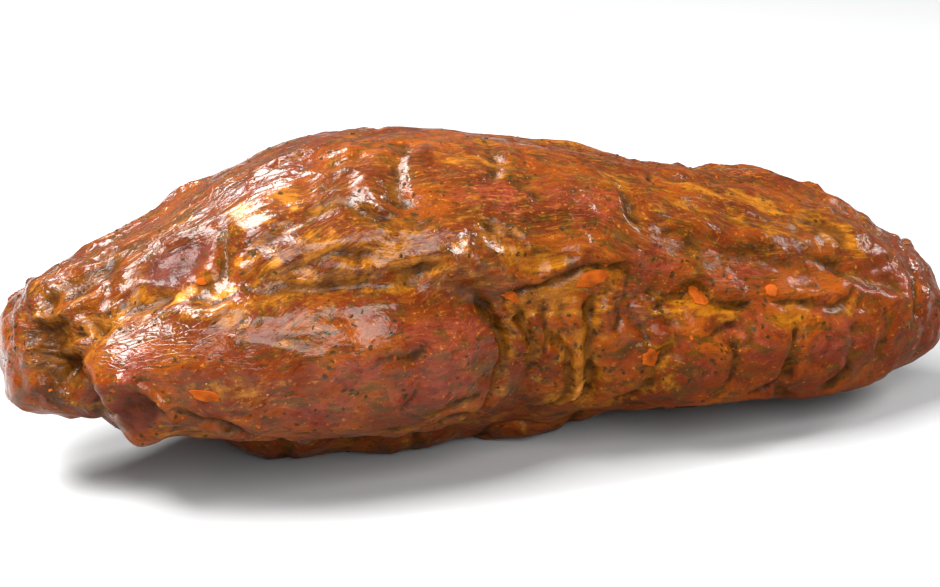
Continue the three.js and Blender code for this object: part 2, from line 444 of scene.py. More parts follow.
def carve_blunt_end(skin):
    """The folds of skin that run over the blunt end."""
    skin.ridge([(118, 34), (132, 38), (144, 50), (154, 66), (160, 84)], 1.6, 1.8, membrane=1)
    skin.ridge([(126, 16), (142, 26), (156, 40), (165, 62), (168, 86)], 1.4, 1.8, membrane=1)
    skin.ridge([(110, 24), (122, 26), (130, 36)], 1.0, 1.6, membrane=0.7)
    skin.ridge([(160, 86), (160, 102), (154, 116)], 1.3, 1.8, membrane=0.8)
    skin.groove([(148, 84), (152, 98), (148, 112)], 1.4, 2.0)
    skin.groove([(140, 14), (156, 20), (168, 34)], 1.2, 2.0)
    for along, clock, size in ((150, 4, 6), (163, 14, 5), (158, 106, 5), (168, 120, 5), (140, -24, 6)):
        skin.lump((along, clock), 1.8, size, size)


def carve_back(skin):
    """The side turned away, finished in the same way: seams, a flap, folds and lumps."""
    skin.groove([(-160, 300), (-130, 292), (-95, 288), (-60, 290), (-25, 296)], 2.4, 3.2, gold=0.6, fat=0.5)
    skin.groove([(-4, 250), (-8, 266), (-4, 280), (-12, 296)], 3.0, 3.0, gold=0.7)
    skin.flap([(120, 292), (96, 288), (70, 290), (44, 294), (20, 290), (2, 292)], 2.4, 2.2, 1.8, gold=0.8)
    skin.groove([(150, 318), (125, 322), (100, 318), (75, 322), (60, 330)], 2.0, 3.0, gold=0.5)
    skin.ridge([(150, 300), (130, 306), (108, 302), (90, 306)], 1.2, 2.4)
    skin.groove([(60, 250), (54, 262), (58, 274), (52, 284)], 1.8, 2.2, gold=0.5)
    skin.groove([(100, 244), (96, 258), (102, 272), (98, 282)], 1.8, 2.2)
    skin.groove([(-60, 246), (-66, 260), (-62, 274), (-68, 286)], 1.6, 2.4, gold=0.4)
    skin.groove([(-110, 250), (-106, 264), (-112, 278)], 1.6, 2.2)
    skin.groove([(-30, 310), (-46, 322), (-52, 336), (-48, 348)], 1.6, 2.6, gold=0.6)
    skin.groove([(10, 305), (24, 320), (26, 336)], 1.4, 2.4)
    skin.groove([(-120, 310), (-100, 320), (-76, 322), (-58, 330)], 1.2, 2.4, gold=0.4)
    skin.ridge([(-168, 330), (-156, 320), (-146, 312), (-150, 298)], 1.6, 1.6, membrane=0.6)
    skin.ridge([(-172, 296), (-164, 288), (-154, 290)], 1.4, 1.6, membrane=0.4)
    skin.ridge([(-150, 330), (-130, 336), (-112, 334), (-96, 340)], 1.4, 2.6, membrane=0.6)
    lumps = (
        (-92, 270, 14, 12, "lean"),
        (-36, 268, 12, 14, "lean"),
        (-80, 306, 12, 8, "gold"),
        (-20, 330, 16, 9, "lean"),
        (28, 268, 14, 12, "lean"),
        (78, 266, 12, 13, "lean"),
        (124, 268, 12, 12, "gold"),
        (60, 308, 14, 8, "gold"),
        (110, 336, 16, 10, "lean"),
        (-128, 274, 10, 10, "gold"),
        (40, 340, 16, 8, "gold"),
    )
    for along, clock, length, girth, kind in lumps:
        skin.lump((along, clock), 1.8, length, girth, **{kind: 0.6})
    skin.paint("gold", (-106, 300), 12, 7, turn=20)
    skin.paint("fat", (-98, 292), 14, 4)
    skin.paint("gold", (14, 284), 10, 6)
    skin.paint("gold", (84, 300), 9, 6, turn=30)


def carve_underside(skin):
    """The folds that cross the underside, and the lumps between them."""
    for along, tilt in ((-118, 6), (-84, -5), (-38, 5), (-8, 8), (22, -4), (56, 6), (84, -6), (112, 5)):
        places = [(along + tilt, 126), (along, 150), (along - tilt, 190), (along, 222), (along + tilt, 240)]
        skin.groove(places, 1.2, 2.4)
    for along, clock, size in ((70, 130, 1.5), (98, 130, 1.5), (128, 130, 1.5)):
        skin.lump((along, clock), size, 13, 9)
    for along, clock, size in ((-62, 150, -4.5), (-40, 148, -1), (-12, 141, 4), (10, 138, 5)):
        skin.lump((along, clock), size, 11, 12, gold=0.4)
    skin.lump((34, 124), -3.5, 12, 11)
    skin.lump((72, 136), -6.5, 26, 13, sharpness=3)
    skin.lump((-114, 166), -3.6, 10, 12)
    skin.lump((-70, 163), -2.6, 14, 8)
    skin.lump((44, 163), -3.0, 22, 8)
    skin.lump((104, 150), -4.0, 26, 14)


def crumple(skin, seed=9):
    """Small knobs and pits, crowded on the tail, along the rim of the blunt end, and right of the band."""
    draw = random.Random(seed)
    crowds = (
        # how many, where along, at what clock, height, half length, half girth, turn
        (70, (-176, -140), (0, 360), 1.3, (2, 4.5), (2, 4.5), (0, 180)),
        (60, (130, 176), (0, 360), 1.0, (1.6, 3), (4, 9), (-30, 30)),
        (34, (20, 44), (72, 98), 1.3, (1.4, 2.6), (1.4, 2.6), (0, 180)),
    )
    for count, along, clock, most, length, girth, turn in crowds:
        for _ in range(count):
            place = (draw.uniform(*along), draw.uniform(*clock))
            height = draw.choice((-most, most)) * draw.uniform(0.5, 1.2)
            skin.lump(place, height, draw.uniform(*length), draw.uniform(*girth), turn=draw.uniform(*turn))
    skin.paint("wet", (31, 84), 9, 12)  # those right of the band glisten


def carve_wrinkles(skin, seed=4):
    """Short creases strewn over the skin, most of them along the ham and some across it."""
    draw = random.Random(seed)
    for _ in range(150):
        along, clock = draw.uniform(-160, 158), draw.uniform(0, 360)
        length, slant = draw.uniform(10, 26), draw.gauss(0, 9)
        if draw.random() < 0.3:
            length, slant = draw.uniform(3, 8), draw.choice((-1, 1)) * draw.uniform(12, 20)
        bend = draw.uniform(-3, 3)
        places = [
            (along - length / 2, clock - slant / 2),
            (along, clock + bend),
            (along + length / 2, clock + slant / 2),
        ]
        depth = draw.uniform(0.3, 0.9)
        if draw.random() < 0.35:
            skin.ridge(places, depth, draw.uniform(1.2, 2.0))
        else:
            skin.groove(places, depth, draw.uniform(1.0, 1.8), hollow=0.5, gold=0.3)


# Where fat, marinade and bare lean meat show most: a place, half the patch's length and girth, its turn, and
# its strength.
PATCHES = {
    "fat": (
        ((-124, 54), 9, 2.6, 8, 1),
        ((-110, 57), 6, 2, 0, 1),
        ((-92, 50), 4, 3, 0, 0.7),
        ((-99, 26), 4.5, 3.5, 30, 0.9),
        ((-103, 46), 3, 3, 0, 0.8),
        ((-82, 33), 4, 2.5, 0, 0.7),
        ((-74, 44), 5, 3, 0, 0.6),
        ((13, 112), 3.5, 8, 0, 1),
    ),
    "gold": (
        ((-134, 52), 7, 5, 0, 1),
        ((-99, 26), 6, 5, 30, 1),
        ((-86, 26), 7, 4, 0, 1),
        ((-100, 48), 6, 5, 0, 1),
        ((-76, 50), 12, 5, 0, 0.8),
        ((-56, 52), 14, 7, 0, 0.8),
        ((-46, 58), 14, 5, 0, 1),
        ((-18, 22), 14, 5, 0, 0.8),
        ((34, 32), 7, 6, 0, 0.9),
        ((-14, 58), 8, 5, 0, 1),
        ((-2, 62), 9, 3.5, 0, 1),
        ((70, 30), 16, 5, -15, 0.7),
        ((94, 36), 14, 6, -18, 1),
        ((112, 48), 9, 6, 0, 1),
        ((122, 66), 12, 5, -25, 1),
        ((90, 92), 10, 5, 0, 1),
        ((45, 104), 6, 10, 0, 0.7),
        ((12, 96), 5, 14, 0, 1),
        ((3, 76), 12, 6, 0, 0.5),
        ((-108, 92), 14, 6, 0, 0.6),
        ((-124, 116), 12, 6, 0, 0.8),
        ((-160, 62), 16, 16, 0, 0.7),
        ((-112, 66), 14, 4, 0, 0.8),
    ),
    "herbs": (
        ((0, 94), 14, 18, 0, 1),
    ),
    "lean": (
        ((-82, 102), 16, 8, 0, 0.9),
        ((-40, 82), 20, 9, 0, 1),
        ((-44, 98), 18, 10, 0, 1),
        ((-74, 88), 14, 7, 0, 0.8),
        ((-142, 84), 8, 10, 0, 0.8),
        ((-12, 40), 24, 9, 0, 0.7),
        ((20, 44), 16, 10, 0, 0.8),
        ((40, 66), 16, 6, 0, 0.8),
        ((72, 74), 18, 5, 0, 0.8),
        ((74, 92), 10, 7, 0, 0.8),
        ((112, 104), 12, 10, 0, 0.9),
        ((146, 96), 10, 10, 0, 0.6),
    ),
    "membrane": (
        ((-136, 70), 18, 9, 0, 1),
        ((-162, 40), 16, 30, 0, 0.6),
        ((-128, 14), 30, 12, 0, 1),
        ((-96, 12), 22, 10, 0, 0.8),
        ((150, 20), 20, 20, 0, 0.7),
        ((162, 56), 12, 26, 0, 1),
        ((-120, 335), 24, 14, 0, 0.8),
        ((90, 325), 24, 10, 0, 0.6),
    ),
}

# Where skin is drawn tight: a place, half its length and girth, its turn, and how often it is smoothed.
TIGHT_SKIN = (
    ((-138, 69), 15, 9, 8, 18),
    ((-120, 12), 26, 10, 0, 6),
    ((-106, 14), 14, 7, 10, 6),
    ((-150, 30), 10, 12, 0, 3),
    ((-46, 32), 5, 8, 0, 5),
    ((-55, 34), 4, 8, 0, 5),
    ((-101, 61), 8, 4, 0, 5),
    ((150, 40), 18, 14, -30, 4),
)


def carve_texture(skin):
    """The small unevenness of the meat: soft swellings, fibres along the grain, and puckered membrane."""
    points = skin.points
    swelling = uneven(points, (26, 16, 16), 2) * 0.9 + uneven(points, (9, 6, 6), 2, start=40) * 0.45
    fibres = uneven(points, (16, 2.8, 2.8), 2, start=80) * 0.22
    puckers = 0.5 - np.abs(uneven(points, (7, 3.4, 3.4), 1, start=120)) * 2.2
    height = swelling + fibres + puckers * (0.1 + 0.3 * skin.marks["membrane"])
    skin.push += skin.normals * height[:, None]


def grain_field(points):
    """Coordinates for the fibres' pattern. They dip with the upper muscle towards both of its ends."""
    along, sideways, high = points.T
    upper = rising(high, 48, 72)
    to_tail = np.maximum(-62 - along, 0)
    to_blunt = np.maximum(along - 10, 0)
    return np.stack([along, sideways, high + upper * (0.42 * to_tail + 0.4 * to_blunt)], axis=1)


def finish_marks(skin):
    """Adds what follows from the finished shape. Hollows gather marinade and herbs, are less wet, and get
    painted shade. The upper muscle shows its fibres and gets painted shade. Membrane, the tail's half and
    what faces up are the wettest."""
    blurred = softened(skin.points, skin.edges, 14)
    sunk = ((blurred - skin.points) * skin.normals).sum(1)
    skin.mark("hollow", slice(None), rising(sunk, 0.02, 0.75))
    upper = rising(skin.points[:, 2], 50, 76)
    patches = rising(uneven(skin.points, (34, 22, 22), 2, start=240), -0.3, 0.3)
    skin.mark("fibrous", slice(None), 0.12 + 0.88 * upper * (0.45 + 0.55 * patches))
    along, _, high = skin.points.T
    tail_half = rising(-along, -60, 60)
    upward = rising(skin.normals[:, 2], -0.8, 0.2)
    film = 0.22 + 0.78 * np.maximum(tail_half, skin.marks["membrane"])
    skin.mark("wet", slice(None), film * (0.3 + 0.7 * upward))
    skin.marks["wet"] *= (1 - 0.75 * skin.marks["bare"]) * (1 - 0.6 * skin.marks["hollow"])
    clumps = rising(uneven(skin.points, (18, 14, 14), 2, start=200), -0.1, 0.5)
    skin.mark("herbs", slice(None), 0.12 + 0.55 * clumps + 0.5 * skin.marks["hollow"])
    skin.marks["herbs"] *= rising(high, 1, 4)  # none is pressed into the table


def carved_ham():
    """The ham's piece: an even copy of its solid, carved from large shapes to small."""
    skin = Skin(even_copy(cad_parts["ham"]))
    skin.smooth(26)
    skin.flatten((-139, 68), 17, 12, 0.75, turn=8)
    skin.flatten((-122, 36), 16, 12, 0.7, turn=12)
    skin.flatten((-140, 105), 9, 11, 0.8)
    for _ in range(3):
        skin.fill((-14, 132), 66, 26, rounds=120)
        skin.fill((0, 232), 90, 26, rounds=120)
    carve_seams(skin)
    carve_upper_left(skin)
    carve_tail(skin)
    carve_knuckle(skin)
    carve_right_lobe(skin)
    carve_blunt_end(skin)
    carve_back(skin)
    carve_underside(skin)
    skin.settle()
    carve_gathered_folds(skin)
    carve_upper_muscle(skin)
    carve_flap(skin)
    crumple(skin)
    carve_wrinkles(skin)
    skin.settle()
    skin.smooth(1)
    for name, patches in PATCHES.items():
        for place, length, girth, turn, strength in patches:
            skin.paint(name, place, length, girth, turn, strength)
    carve_texture(skin)
    skin.settle()
    skin.flatten((-138, 69), 14, 9, 0.7, turn=8)
    for place, length, girth, turn, rounds in TIGHT_SKIN:
        skin.soothe(place, length, girth, turn, rounds)
    skin.settle()
    finish_marks(skin)
    for name, amounts in skin.marks.items():
        stored = skin.mesh.attributes.new(name, "FLOAT", "POINT")
        stored.data.foreach_set("value", amounts)
    stored = skin.mesh.attributes.new("grain", "FLOAT_VECTOR", "POINT")
    stored.data.foreach_set("vector", grain_field(skin.points).ravel())
    skin.mesh.polygons.foreach_set("use_smooth", [True] * len(skin.mesh.polygons))
    skin.tree = skin.search_tree()
    ham = bpy.data.objects.new("ham_skin", skin.mesh)
    bpy.context.scene.collection.objects.link(ham)
    return ham, skin


# --- Materials ------------------------------------------------------------------------------------------


def colour(hex_digits):
    """An sRGB colour, written as six hex digits, as linear red, green, blue and alpha."""
    shares = [int(hex_digits[i : i + 2], 16) / 255 for i in (0, 2, 4)]
    return [s / 12.92 if s <= 0.04045 else ((s + 0.055) / 1.055) ** 2.4 for s in shares] + [1]


def add(tree, kind, inputs, **settings):
    """Adds a node with its settings. Each input, by name or number, gets a value or another node's output."""
    made = tree.nodes.new(kind)
    for name, value in settings.items():
        setattr(made, name, value)
    for name, value in inputs.items():
        if isinstance(value, bpy.types.NodeSocket):
            tree.links.new(value, made.inputs[name])
        else:
            made.inputs[name].default_value = value
    return made


def empty_material(name):
    material = bpy.data.materials.new(name)
    material.use_nodes = True
    material.node_tree.nodes.clear()
    return material, material.node_tree


# The meat is mixed from patterns. These are noises and two sorts of cells. Each has the coordinates that it
# follows, and the lengths of its bumps along x, y and z in millimetres. A noise has its detail and roughness
# too, and cells what is measured in them.
NOISES = (
    ("broad", "shifted", (30, 20, 20), 2, 0.55),
    ("middle", "shifted", (10, 7, 7), 3, 0.55),
    ("blots", "shifted", (7, 5, 5), 4, 0.6),
    ("smears", "wandering", (9, 4, 4), 4, 0.65),
    ("streaks", "wandering", (14, 2.2, 2.2), 4, 0.65),
    ("fibres", "wandering", (6, 0.7, 0.7), 3, 0.6),
    ("flecks", "shifted", (1.9, 1.5, 1.5), 3, 0.6),
)
CELLS = (
    ("from_speck", "shifted", (4.2, 3.6, 3.6), "F1"),
    ("from_crease", "wandering", (7, 3.6, 3.6), "DISTANCE_TO_EDGE"),
)

# New patterns out of those and of the marks on the skin: a weighted sum; if it has two levels, a smooth step
# from 0 at the first to the given strength at the second; and if it has a mask, that pattern times it.
MIXTURES = (
    ("light_broad", {"broad": 1}, (0.38, 0.62), 1, None),
    ("light_blots", {"blots": 1}, (0.38, 0.62), 1, None),
    ("light_smears", {"smears": 1}, (0.35, 0.65), 1, None),
    # Painted shade on the top: where the fibrous mark is high, the colour is darkened so that the lit top is
    # no brighter than the front.
    ("smoked", {"fibrous": 1}, (0.15, 1.0), 0.64, None),
    ("dark_meat", {"middle": 1}, (0.5, 0.66), 0.7, None),
    ("lean_meat", {"lean": 0.6, "middle": 0.9}, (0.62, 0.95), 0.85, None),
    ("marinade", {"smears": 1, "gold": 0.08, "hollow": 0.1}, (0.5, 0.63), 0.75, None),
    ("gold_blots", {"gold": 0.42, "blots": 0.9, "smears": 0.6, "lean": -0.3}, (0.83, 1.14), 0.72, None),
    ("fat_blots", {"fat": 1, "blots": 0.8}, (0.85, 1.3), 1, None),
    ("light_streaks", {"streaks": 1}, (0.54, 0.68), 0.28, "fibrous"),
    ("dark_streaks", {"streaks": 1}, (0.47, 0.35), 0.5, "fibrous"),
    ("light_fibres", {"fibres": 1}, (0.56, 0.7), 0.35, "fibrous"),
    ("dark_fibres", {"fibres": 1}, (0.45, 0.31), 0.55, "fibrous"),
    ("light_flecks", {"flecks": 1}, (0.6, 0.74), 0.45, None),
    ("dark_flecks", {"flecks": 1}, (0.43, 0.29), 0.65, None),
    ("bare_meat", {"bare": 1, "blots": 0.3}, (0.5, 0.8), 0.9, None),
    ("herby", {"herbs": 1}, (0.12, 0.5), 0.9, None),
    ("herb_dust", {"from_speck": 1, "flecks": 0.35}, (0.46, 0.3), 1, "herby"),
    # Painted shade: darkens hollows, seams and grooves, where shade falls.
    ("deep", {"hollow": 1}, (0.25, 0.9), 0.8, None),
    ("taut", {"membrane": 1, "middle": 1}, (0.45, 1.0), 1, None),
    ("creases", {"from_crease": 1}, (0.0, 0.12), 0.3, "taut"),
    # Painted shade: thin dark lines along the fine creases of the film.
    ("crease_shade_lines", {"from_crease": 1}, (0.07, 0.0), 0.3, "taut"),
    ("fibre_relief", {"fibres": 0.5}, None, 1, "fibrous"),
    ("relief", {"fibre_relief": 1, "flecks": 0.6}, None, 1, None),
    (
        "grit",
        {"always": 0.12, "fibrous": 0.25, "herbs": 0.45, "hollow": 0.3, "membrane": -0.2},
        None,
        1,
        "flecks",
    ),
    ("film", {"creases": 1, "middle": 1.1, "blots": 0.35, "grit": 1}, None, 1, None),
    ("film_cover", {"smears": 1}, (0.3, 0.5), 1, "wet"),
    ("roughness", {"always": 0.4, "blots": 0.25, "hollow": 0.15}, None, 1, None),
)

# The meat's colours, laid over its red-brown ground from the bottom up. Three layers are painted shade: the
# darkened top, the dark lines along the film's fine creases, and the dark brown in hollows. Each is a darker
# and a lighter one, the pattern that leads from the one to the other, and how much of them is laid on.
GROUND = "561e02"
LAYERS = (
    ("703204", "703204", "light_broad", "light_broad"),
    # Painted shade: the top of the ham is laid darker.
    ("3e1602", "4a2002", "light_broad", "smoked"),
    ("401402", "461602", "light_blots", "dark_meat"),
    ("561c0c", "6c2c1a", "light_blots", "lean_meat"),
    ("342202", "442c04", "light_blots", "marinade"),
    ("643802", "905406", "light_smears", "gold_blots"),
    ("985408", "ae7228", "light_blots", "fat_blots"),
    ("985a0e", "a4641a", "light_blots", "light_streaks"),
    ("341402", "3c1a02", "light_blots", "dark_streaks"),
    ("985c1c", "ac7230", "light_blots", "light_fibres"),
    ("2c1002", "341402", "light_blots", "dark_fibres"),
    ("9a6018", "ae7020", "light_blots", "light_flecks"),
    ("281002", "301602", "light_blots", "dark_flecks"),
    ("38140a", "4a1c12", "light_blots", "bare_meat"),
    # Painted shade along the film's fine creases.
    ("3a1602", "4a2404", "light_blots", "crease_shade_lines"),
    ("221a04", "2c2406", "light_smears", "herb_dust"),
    # Painted shade in hollows, seams and grooves.
    ("241002", "4e2a04", "light_blots", "deep"),
)


def meat_patterns(tree):
    """The patterns of the meat by name, each as a node's output."""
    object_place = add(tree, "ShaderNodeTexCoord", {}).outputs["Object"]
    in_mm = {0: object_place, 1: (1 / MM, 1 / MM, 1 / MM)}
    place = add(tree, "ShaderNodeVectorMath", in_mm, operation="MULTIPLY").outputs[0]
    grain = add(tree, "ShaderNodeAttribute", {}, attribute_name="grain").outputs["Vector"]

    # A slow noise shifts the other patterns by up to 6 mm, so that nothing runs straight.
    slow = add(tree, "ShaderNodeTexNoise", {"Vector": place, "Scale": 1 / 22, "Detail": 1}).outputs["Color"]
    inputs = {0: slow, 1: (0.5, 0.5, 0.5)}
    centred = add(tree, "ShaderNodeVectorMath", inputs, operation="SUBTRACT").outputs[0]
    shift = add(tree, "ShaderNodeVectorMath", {0: centred, "Scale": 12}, operation="SCALE").outputs[0]
    coordinates = {
        "shifted": add(tree, "ShaderNodeVectorMath", {0: place, 1: shift}).outputs[0],
        "wandering": add(tree, "ShaderNodeVectorMath", {0: grain, 1: shift}).outputs[0],
    }

    patterns = {"always": 1.0}
    for name in Skin.MARKS:
        patterns[name] = add(tree, "ShaderNodeAttribute", {}, attribute_name=name).outputs["Fac"]
    for name, followed, lengths, detail, roughness in NOISES:
        inputs = {0: coordinates[followed], 1: [1 / length for length in lengths]}
        scaled = add(tree, "ShaderNodeVectorMath", inputs, operation="MULTIPLY").outputs[0]
        inputs = {"Vector": scaled, "Scale": 1, "Detail": detail, "Roughness": roughness}
        patterns[name] = add(tree, "ShaderNodeTexNoise", inputs).outputs["Fac"]
    for name, followed, lengths, feature in CELLS:
        inputs = {0: coordinates[followed], 1: [1 / length for length in lengths]}
        scaled = add(tree, "ShaderNodeVectorMath", inputs, operation="MULTIPLY").outputs[0]
        inputs = {"Vector": scaled, "Scale": 1}
        patterns[name] = add(tree, "ShaderNodeTexVoronoi", inputs, feature=feature).outputs["Distance"]
    for name, weights, levels, strength, mask in MIXTURES:
        total = 0.0
        for part, weight in weights.items():
            inputs = {0: patterns[part], 1: weight, 2: total}
            total = add(tree, "ShaderNodeMath", inputs, operation="MULTIPLY_ADD").outputs[0]
        if levels:
            inputs = {"Value": total, "From Min": levels[0], "From Max": levels[1], "To Max": strength}
            total = add(tree, "ShaderNodeMapRange", inputs, interpolation_type="SMOOTHSTEP").outputs["Result"]
        if mask:
            inputs = {0: total, 1: patterns[mask]}
            total = add(tree, "ShaderNodeMath", inputs, operation="MULTIPLY").outputs[0]
        patterns[name] = total
    return patterns


def smoked_meat():
    """Cured lean pork, smoked and wet with oil marinade. The eye sees red-brown muscle with fine fibres,
    golden marinade in blots and folds, paler fat, and a clear gloss that wrinkles break up. Shade is painted
    into its colour in hollows, along fine creases and on the top."""
    material, tree = empty_material("smoked_meat")
    patterns = meat_patterns(tree)
    meat = colour(GROUND)
    for dark, light, tone, amount in LAYERS:
        inputs = {0: patterns[tone], 6: colour(dark), 7: colour(light)}
        shade = add(tree, "ShaderNodeMix", inputs, data_type="RGBA").outputs[2]
        inputs = {0: patterns[amount], 6: meat, 7: shade}
        meat = add(tree, "ShaderNodeMix", inputs, data_type="RGBA").outputs[2]

    # The wet film's relief is smoother than the meat's: it bridges the fibres, and breaks along wrinkles.
    bump = {"Height": patterns["relief"], "Strength": 1, "Distance": 0.6 * MM}
    film_bump = {"Height": patterns["film"], "Strength": 1, "Distance": 0.4 * MM}
    inputs = {
        "Base Color": meat,
        "Roughness": patterns["roughness"],
        "Normal": add(tree, "ShaderNodeBump", bump).outputs[0],
        "Coat Normal": add(tree, "ShaderNodeBump", film_bump).outputs[0],
        "IOR": 1.42,
        "Specular IOR Level": 0.05,
        "Coat Weight": patterns["film_cover"],
        "Coat Roughness": 0.05,
        "Coat IOR": 1.3,
        "Subsurface Weight": 0.15,
        "Subsurface Radius": (1, 0.35, 0.1),
        "Subsurface Scale": 2.5 * MM,
    }
    surface = add(tree, "ShaderNodeBsdfPrincipled", inputs).outputs[0]
    add(tree, "ShaderNodeOutputMaterial", {"Surface": surface})
    return material


def dry_crumb(name, dark, light, roughness, gloss):
    """A dried spice or herb: matt, and a little different in colour from one crumb to the next."""
    material, tree = empty_material(name)
    object_place = add(tree, "ShaderNodeTexCoord", {}).outputs["Object"]
    inputs = {"Vector": object_place, "Scale": 260, "Detail": 2}
    tone = add(tree, "ShaderNodeTexNoise", inputs).outputs["Fac"]
    inputs = {"Vector": object_place, "Scale": 2200, "Detail": 3}
    fine = add(tree, "ShaderNodeTexNoise", inputs).outputs["Fac"]
    amount = add(tree, "ShaderNodeMapRange", {"Value": tone, "From Min": 0.35, "From Max": 0.65}).outputs[0]
    inputs = {0: amount, 6: colour(dark), 7: colour(light)}
    mixed = add(tree, "ShaderNodeMix", inputs, data_type="RGBA").outputs[2]
    bump = add(tree, "ShaderNodeBump", {"Height": fine, "Strength": 0.6, "Distance": 0.2 * MM}).outputs[0]
    inputs = {
        "Base Color": mixed,
        "Roughness": roughness,
        "Normal": bump,
        "Specular IOR Level": 0.1,
        "Coat Weight": gloss,
        "Coat Roughness": 0.2,
        "Coat IOR": 1.33,
    }
    surface = add(tree, "ShaderNodeBsdfPrincipled", inputs).outputs[0]
    add(tree, "ShaderNodeOutputMaterial", {"Surface": surface})
    return material


# --- Herbs and spices -----------------------------------------------------------------------------------


def strewn(name, ham, material, per_square_metre, size, flatness, seed):
    """Crumbs strewn over the ham, as one mesh. size is their smallest and largest length."""
    tree = bpy.data.node_groups.new(name, "GeometryNodeTree")
    tree.interface.new_socket("Geometry", in_out="INPUT", socket_type="NodeSocketGeometry")
    sizes = {}
    for label in ("Per square metre", "Smallest", "Largest", "Flatness"):
        socket = tree.interface.new_socket(label, in_out="INPUT", socket_type="NodeSocketFloat")
        sizes[label] = socket.identifier
    tree.interface.new_socket("Geometry", in_out="OUTPUT", socket_type="NodeSocketGeometry")
    given = add(tree, "NodeGroupInput", {}).outputs
    herbs = add(tree, "GeometryNodeInputNamedAttribute", {"Name": "herbs"}, data_type="FLOAT")
    inputs = {0: herbs.outputs["Attribute"], 1: given["Per square metre"]}
    density = add(tree, "ShaderNodeMath", inputs, operation="MULTIPLY").outputs[0]
    inputs = {"Mesh": given["Geometry"], "Density": density, "Seed": seed}
    points = add(tree, "GeometryNodeDistributePointsOnFaces", inputs, distribute_method="RANDOM")
    crumb = add(tree, "GeometryNodeMeshIcoSphere", {"Radius": 0.5, "Subdivisions": 1}).outputs["Mesh"]
    turn = add(tree, "FunctionNodeRandomValue", {2: -math.pi, 3: math.pi, "Seed": seed}, data_type="FLOAT")
    spin = add(tree, "ShaderNodeCombineXYZ", {"Z": turn.outputs[1]}).outputs[0]
    tilt = {"Rotation": points.outputs["Rotation"], "Rotate By": spin}
    turned = add(tree, "FunctionNodeRotateRotation", tilt, rotation_space="LOCAL").outputs[0]
    length = {2: given["Smallest"], 3: given["Largest"], "Seed": seed + 1}
    long_side = add(tree, "FunctionNodeRandomValue", length, data_type="FLOAT").outputs[1]
    narrowness = {2: 0.35, 3: 0.9, "Seed": seed + 2}
    share = add(tree, "FunctionNodeRandomValue", narrowness, data_type="FLOAT").outputs[1]
    wide = add(tree, "ShaderNodeMath", {0: long_side, 1: share}, operation="MULTIPLY").outputs[0]
    inputs = {0: long_side, 1: given["Flatness"]}
    thick = add(tree, "ShaderNodeMath", inputs, operation="MULTIPLY").outputs[0]
    scale = add(tree, "ShaderNodeCombineXYZ", {"X": long_side, "Y": wide, "Z": thick}).outputs[0]
    inputs = {"Points": points.outputs["Points"], "Instance": crumb, "Rotation": turned, "Scale": scale}
    placed = add(tree, "GeometryNodeInstanceOnPoints", inputs).outputs["Instances"]
    solid = add(tree, "GeometryNodeRealizeInstances", {"Geometry": placed}).outputs["Geometry"]
    jagged = add(tree, "ShaderNodeTexNoise", {"Scale": 900, "Detail": 1}).outputs["Color"]
    inputs = {0: jagged, 1: (0.5, 0.5, 0.5)}
    centred = add(tree, "ShaderNodeVectorMath", inputs, operation="SUBTRACT").outputs[0]
    inputs = {0: centred, "Scale": size[1] * 0.5}
    jag = add(tree, "ShaderNodeVectorMath", inputs, operation="SCALE").outputs[0]
    broken = add(tree, "GeometryNodeSetPosition", {"Geometry": solid, "Offset": jag}).outputs["Geometry"]
    coloured = add(tree, "GeometryNodeSetMaterial", {"Geometry": broken, "Material": material})
    add(tree, "NodeGroupOutput", {"Geometry": coloured.outputs["Geometry"]})

    bed = bpy.data.objects.new(name + "_bed", ham.data)
    bpy.context.scene.collection.objects.link(bed)
    modifier = bed.modifiers.new(name, "NODES")
    modifier.node_group = tree
    values = (per_square_metre, size[0], size[1], flatness)
    for identifier, value in zip(sizes.values(), values):
        modifier[identifier] = float(value)
    bpy.context.view_layer.update()
    mesh = bpy.data.meshes.new_from_object(bed.evaluated_get(bpy.context.evaluated_depsgraph_get()))
    bed.modifiers.remove(modifier)
    bpy.data.objects.remove(bed)
    mesh.name = name
    mesh.materials.clear()
    mesh.materials.append(material)
    if "grain" in mesh.attributes:
        mesh.attributes.remove(mesh.attributes["grain"])
    crumbs = bpy.data.objects.new(name, mesh)
    bpy.context.scene.collection.objects.link(crumbs)
    return crumbs


# The larger flakes of pepper: a place, half a flake's length and girth, and its turn.
FLAKES = (
    ((16, 69), 6.8, 2.9, 6),
    ((-14, 71), 4.5, 2.2, -40),
    ((57, 80), 4.2, 4.6, 0),
    ((85, 82), 2.6, 2.6, 30),
    ((37, 100), 5.4, 3.8, -30),
    ((-121, 93), 5.5, 2.0, -12),
    ((-116, 50), 2.0, 1.4, 0),
    ((30, 292), 5, 3, 20),
    ((70, 286), 4, 3, 60),
    ((-52, 300), 5, 2.6, -20),
    ((-96, 262), 4, 3, 10),
    ((104, 300), 3.5, 2.5, 0),
)


